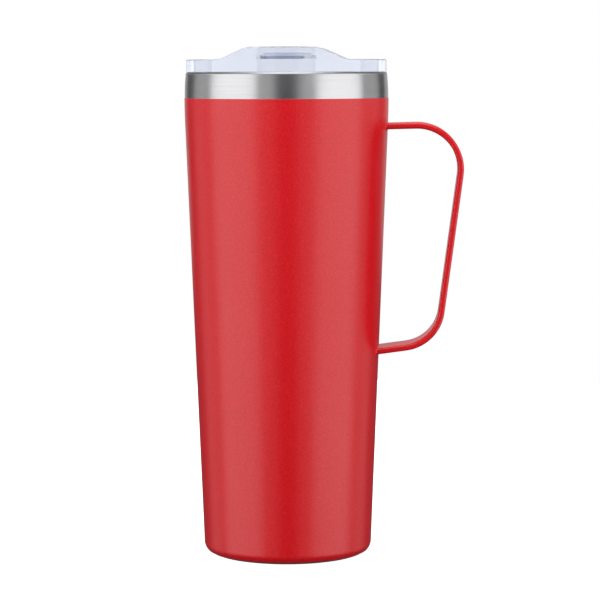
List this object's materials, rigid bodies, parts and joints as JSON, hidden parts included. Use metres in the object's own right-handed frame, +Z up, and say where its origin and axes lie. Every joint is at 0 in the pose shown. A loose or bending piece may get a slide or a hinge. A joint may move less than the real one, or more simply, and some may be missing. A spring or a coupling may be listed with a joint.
{
  "type": "insulated travel mug",
  "caption": "Tall tapered vacuum insulated travel mug with a strap handle and a clear press-in lid whose ridge houses a sliding drink closure.",
  "frame": {"origin": "centre of the foot, on the surface that the mug stands on", "axes": "+Z up along the mug's axis, +X towards the handle, -Y towards the lid's drinking hole"},
  "size_m": [0.1231, 0.09, 0.2243],
  "materials": {
    "brushed_stainless": "brushed around",
    "liner_stainless": "electropolished",
    "mill_stainless": "mill",
    "red_powder_coat": "satin, fine texture",
    "red_coated_steel": "satin powder coat",
    "clear_plastic": "clear, gloss",
    "clear_silicone": "matt",
    "solder_glass": "gloss",
    "getter_alloy": "sintered"
  },
  "bodies": {
    "mug": {"outer_shell": "brushed_stainless", "base_cup": "brushed_stainless", "powder_coat": "red_powder_coat", "inner_liner": "liner_stainless", "liner_bottom": "liner_stainless", "vacuum_closure": "mill_stainless", "solder_bead": "solder_glass", "getter_pellet": "getter_alloy", "getter_clip": "mill_stainless", "handle": "red_coated_steel"},
    "seal": {"lid_seal": "clear_silicone"},
    "lid": {"lid_body": "clear_plastic"},
    "slider": {"slider": "clear_plastic", "slider_pad": "clear_silicone"}
  },
  "joints": [
    {"name": "lid_lift", "type": "slide", "parent": "mug", "child": "seal", "axis": [0, 0, 1], "range_m": [0, 0.06]},
    {"name": "lid_turn", "type": "hinge", "parent": "seal", "child": "lid", "pos_m": [0, 0, 0.2137], "axis": [0, 0, 1], "continuous": true},
    {"name": "slider_slide", "type": "slide", "parent": "lid", "child": "slider", "axis": [0, 1, 0], "range_m": [0, 0.012]}
  ]
}
